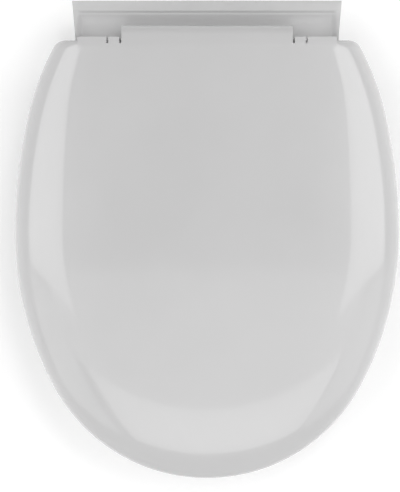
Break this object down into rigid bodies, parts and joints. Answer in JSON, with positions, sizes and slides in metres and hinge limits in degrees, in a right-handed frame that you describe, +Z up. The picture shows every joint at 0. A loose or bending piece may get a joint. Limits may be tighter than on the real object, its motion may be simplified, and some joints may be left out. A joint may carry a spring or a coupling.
{
  "type": "toilet seat",
  "caption": "Closed toilet seat: a domed lid over a seat ring, both hinged on steel pins that stand on one long hinge bar, with bolts, washers and wing nuts for the bowl.",
  "frame": {"origin": "midway between the two fixing bolts, on the bowl's top face", "axes": "+Z up out of the bowl, +Y to the rear (hinge bar), +X along the hinge bar; the front of the seat points to -Y"},
  "size_m": [0.36, 0.4474, 0.1027],
  "materials": {
    "lid_plastic": "glossy pale grey-white moulded plastic",
    "ring_plastic": "glossy pale grey-white moulded plastic",
    "bar_plastic": "satin pale grey-white moulded plastic",
    "pin_steel": "bright drawn stainless steel",
    "buffer_soft": "soft matt pale elastomer",
    "soft_pad": "soft matt grey elastomer",
    "fixing_nylon": "natural white nylon"
  },
  "bodies": {
    "bar": {"hinge_bar": "bar_plastic", "left_hinge_pin": "pin_steel", "left_bar_pad": "soft_pad", "left_fixing_bolt": "fixing_nylon", "left_soft_washer": "soft_pad", "left_hard_washer": "fixing_nylon", "left_wing_nut": "fixing_nylon", "right_hinge_pin": "pin_steel", "right_bar_pad": "soft_pad", "right_fixing_bolt": "fixing_nylon", "right_soft_washer": "soft_pad", "right_hard_washer": "fixing_nylon", "right_wing_nut": "fixing_nylon"},
    "ring": {"seat_ring": "ring_plastic", "rear_left_ring_buffer": "buffer_soft", "rear_right_ring_buffer": "buffer_soft", "front_left_ring_buffer": "buffer_soft", "front_right_ring_buffer": "buffer_soft"},
    "lid": {"lid": "lid_plastic", "rear_left_lid_buffer": "buffer_soft", "rear_right_lid_buffer": "buffer_soft", "front_left_lid_buffer": "buffer_soft", "front_right_lid_buffer": "buffer_soft"}
  },
  "joints": [
    {"name": "ring_hinge", "type": "hinge", "parent": "bar", "child": "ring", "pos_m": [0, -0.0235, 0.034], "axis": [-1, 0, 0], "range_deg": [0, 90]},
    {"name": "lid_hinge", "type": "hinge", "parent": "ring", "child": "lid", "pos_m": [0, -0.0235, 0.034], "axis": [-1, 0, 0], "range_deg": [0, 90]}
  ]
}
